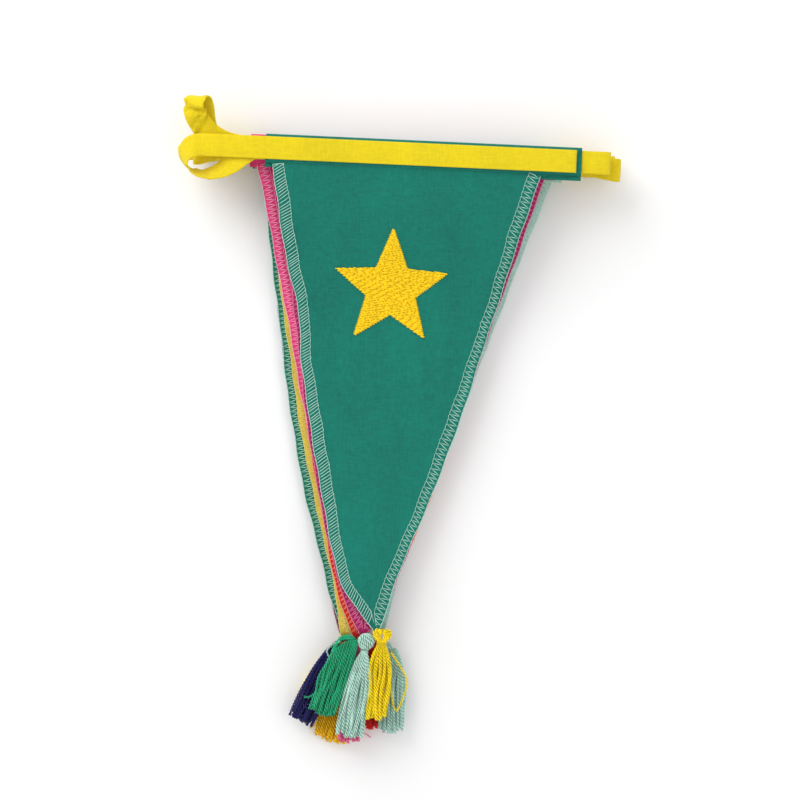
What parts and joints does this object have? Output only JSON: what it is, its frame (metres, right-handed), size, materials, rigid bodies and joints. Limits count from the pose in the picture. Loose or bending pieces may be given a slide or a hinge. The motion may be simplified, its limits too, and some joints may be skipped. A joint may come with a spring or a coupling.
{
  "type": "fabric bunting, folded flat",
  "caption": "Cotton pennant bunting folded into a flat stack on its tape, with overlocked edges, an embroidered star and yarn tassels at the tips.",
  "frame": {"origin": "on the surface that the stack lies on, below the middle of its box", "axes": "+X to the right of the front pennant, +Y up it towards the tape, +Z up out of the front cloth"},
  "size_m": [0.196, 0.2892, 0.0292],
  "materials": {
    "tape_cotton": "matt woven cotton",
    "star_thread": "satin fill stitch",
    "teal_cotton": "matt woven cotton",
    "magenta_cotton": "matt woven cotton",
    "pink_cotton": "matt woven cotton",
    "yellow_cotton": "matt woven cotton",
    "green_cotton": "matt woven cotton",
    "mint_cotton": "matt woven cotton",
    "red_cotton": "matt woven cotton",
    "navy_cotton": "matt woven cotton",
    "plum_cotton": "matt woven cotton",
    "yellow_yarn": "soft plied yarn",
    "mint_yarn": "soft plied yarn",
    "pink_yarn": "soft plied yarn",
    "green_yarn": "soft plied yarn",
    "navy_yarn": "soft plied yarn",
    "sea_yarn": "soft plied yarn",
    "mustard_yarn": "soft plied yarn",
    "red_yarn": "soft plied yarn",
    "lemon_yarn": "soft plied yarn"
  },
  "bodies": {
    "root": {"tape": "tape_cotton", "star_embroidery": "star_thread", "pennant_1_teal": "teal_cotton", "pennant_2_magenta": "magenta_cotton", "pennant_3_pink": "pink_cotton", "pennant_4_red": "red_cotton", "pennant_5_yellow": "yellow_cotton", "pennant_6_green": "green_cotton", "pennant_7_mint": "mint_cotton", "pennant_8_navy": "navy_cotton", "pennant_9_plum": "plum_cotton", "tassel_1_yellow": "yellow_yarn", "tassel_2_mint": "mint_yarn", "tassel_3_pink": "pink_yarn", "tassel_4_mustard": "mustard_yarn", "tassel_5_green": "green_yarn", "tassel_6_navy": "navy_yarn", "tassel_7_sea": "sea_yarn", "tassel_8_red": "red_yarn", "tassel_9_lemon": "lemon_yarn"}
  },
  "joints": []
}
